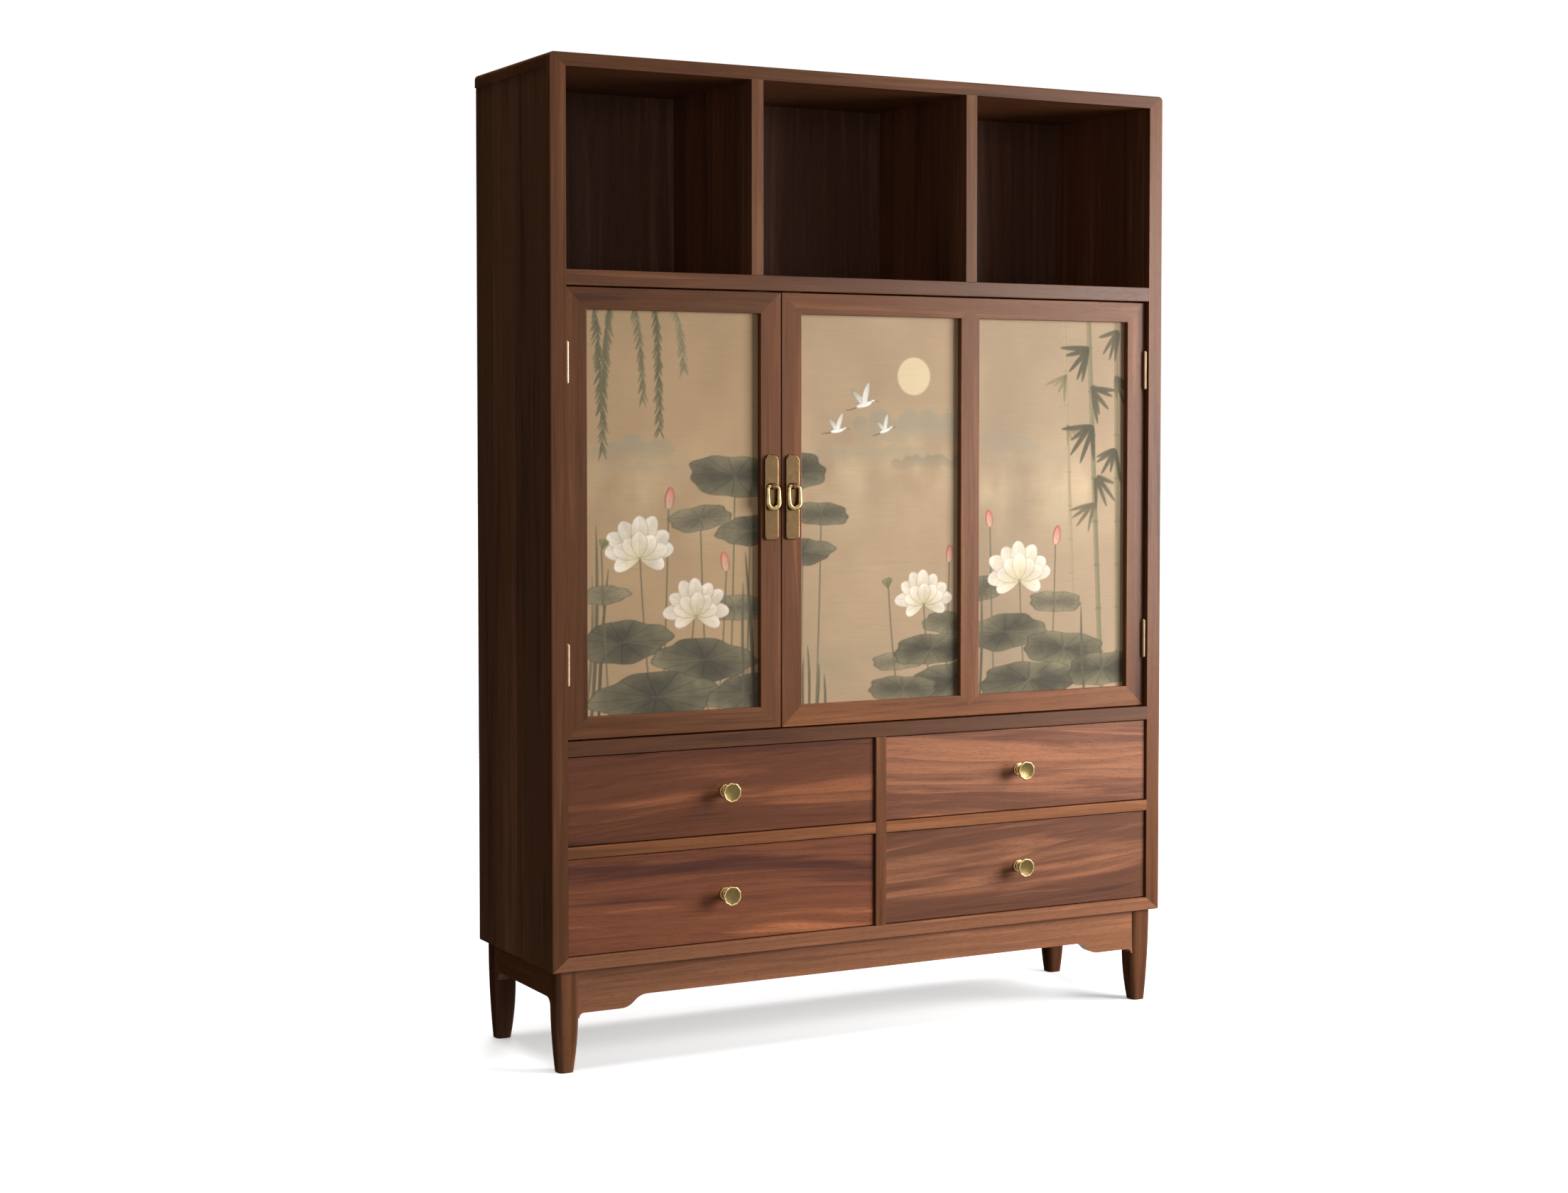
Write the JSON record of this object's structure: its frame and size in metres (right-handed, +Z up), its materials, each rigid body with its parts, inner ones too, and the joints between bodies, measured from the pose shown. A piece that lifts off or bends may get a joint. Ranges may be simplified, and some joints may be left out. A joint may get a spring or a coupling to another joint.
{
  "type": "display cabinet",
  "caption": "Standing walnut display cabinet: open bays over framed hinged doors with ring pulls and sliding drawers with knobs, on short tapered legs.",
  "frame": {"origin": "centre of the cabinet's box on the floor plane, between the tips of the knobs and the back", "axes": "+X to the right seen from the front, -Y to the front where the doors open, +Z up"},
  "size_m": [1.2, 0.347, 1.645],
  "materials": {
    "walnut": "satin oiled walnut",
    "figured_walnut": "satin oiled figured walnut",
    "back_veneer": "matt walnut veneer",
    "drawer_lining_wood": "matt waxed pale hardwood",
    "panel_silk": "painted silk laid on board",
    "aged_brass": "satin aged brass",
    "hinge_brass": "brushed brass",
    "screw_steel": "zinc plated",
    "catch_plastic": "matt brown"
  },
  "bodies": {
    "carcass": {"bottom_front_rail": "walnut", "front_right_stile": "walnut", "top_front_rail": "walnut", "front_left_stile": "walnut", "left_side_board": "walnut", "right_side_board": "walnut", "front_left_leg": "walnut", "rear_left_leg": "walnut", "front_right_leg": "walnut", "rear_right_leg": "walnut", "front_apron": "walnut", "rear_apron": "walnut", "left_apron": "walnut", "right_apron": "walnut", "display_shelf": "walnut", "cupboard_floor": "walnut", "bottom_board": "walnut", "top_board": "walnut", "left_bay_divider": "walnut", "right_bay_divider": "walnut", "drawer_divider": "walnut", "drawer_rails": "walnut", "drawer_runners": "drawer_lining_wood", "back_panel": "back_veneer", "inner_shelf": "walnut", "shelf_pins": "hinge_brass", "door_catches": "catch_plastic", "base_screws": "screw_steel", "case_hinge_leaves": "hinge_brass", "hinge_pins": "hinge_brass"},
    "left_door": {"left_door_meeting_stile": "walnut", "left_door_hinge_stile": "walnut", "left_door_top_rail": "walnut", "left_door_bottom_rail": "walnut", "left_door_panel": "panel_silk", "left_handle_plate": "aged_brass", "left_door_hinge_leaves": "hinge_brass"},
    "left_ring": {"left_ring_pull": "aged_brass"},
    "right_door": {"right_door_meeting_stile": "walnut", "right_door_hinge_stile": "walnut", "right_door_muntin": "walnut", "right_door_top_rail": "walnut", "right_door_bottom_rail": "walnut", "right_door_inner_panel": "panel_silk", "right_door_outer_panel": "panel_silk", "right_handle_plate": "aged_brass", "right_door_hinge_leaves": "hinge_brass"},
    "right_ring": {"right_ring_pull": "aged_brass"},
    "upper_left_drawer": {"upper_left_drawer_front": "figured_walnut", "upper_left_drawer_box": "drawer_lining_wood", "upper_left_knob": "aged_brass"},
    "upper_right_drawer": {"upper_right_drawer_front": "figured_walnut", "upper_right_drawer_box": "drawer_lining_wood", "upper_right_knob": "aged_brass"},
    "lower_left_drawer": {"lower_left_drawer_front": "figured_walnut", "lower_left_drawer_box": "drawer_lining_wood", "lower_left_knob": "aged_brass"},
    "lower_right_drawer": {"lower_right_drawer_front": "figured_walnut", "lower_right_drawer_box": "drawer_lining_wood", "lower_right_knob": "aged_brass"}
  },
  "joints": [
    {"name": "left_door_swing", "type": "hinge", "parent": "carcass", "child": "left_door", "pos_m": [-0.5684, -0.1451, 0.9075], "axis": [0, 0, -1], "range_deg": [0, 110]},
    {"name": "right_door_swing", "type": "hinge", "parent": "carcass", "child": "right_door", "pos_m": [0.5684, -0.1451, 0.9075], "axis": [0, 0, 1], "range_deg": [0, 110]},
    {"name": "left_ring_swing", "type": "hinge", "parent": "left_door", "child": "left_ring", "pos_m": [-0.1973, -0.1507, 0.9485], "axis": [-1, 0, 0], "range_deg": [0, 170]},
    {"name": "right_ring_swing", "type": "hinge", "parent": "right_door", "child": "right_ring", "pos_m": [-0.1573, -0.1507, 0.9485], "axis": [-1, 0, 0], "range_deg": [0, 170]},
    {"name": "upper_left_drawer_slide", "type": "slide", "parent": "carcass", "child": "upper_left_drawer", "axis": [0, -1, 0], "range_m": [0, 0.22]},
    {"name": "upper_right_drawer_slide", "type": "slide", "parent": "carcass", "child": "upper_right_drawer", "axis": [0, -1, 0], "range_m": [0, 0.22]},
    {"name": "lower_left_drawer_slide", "type": "slide", "parent": "carcass", "child": "lower_left_drawer", "axis": [0, -1, 0], "range_m": [0, 0.22]},
    {"name": "lower_right_drawer_slide", "type": "slide", "parent": "carcass", "child": "lower_right_drawer", "axis": [0, -1, 0], "range_m": [0, 0.22]}
  ]
}
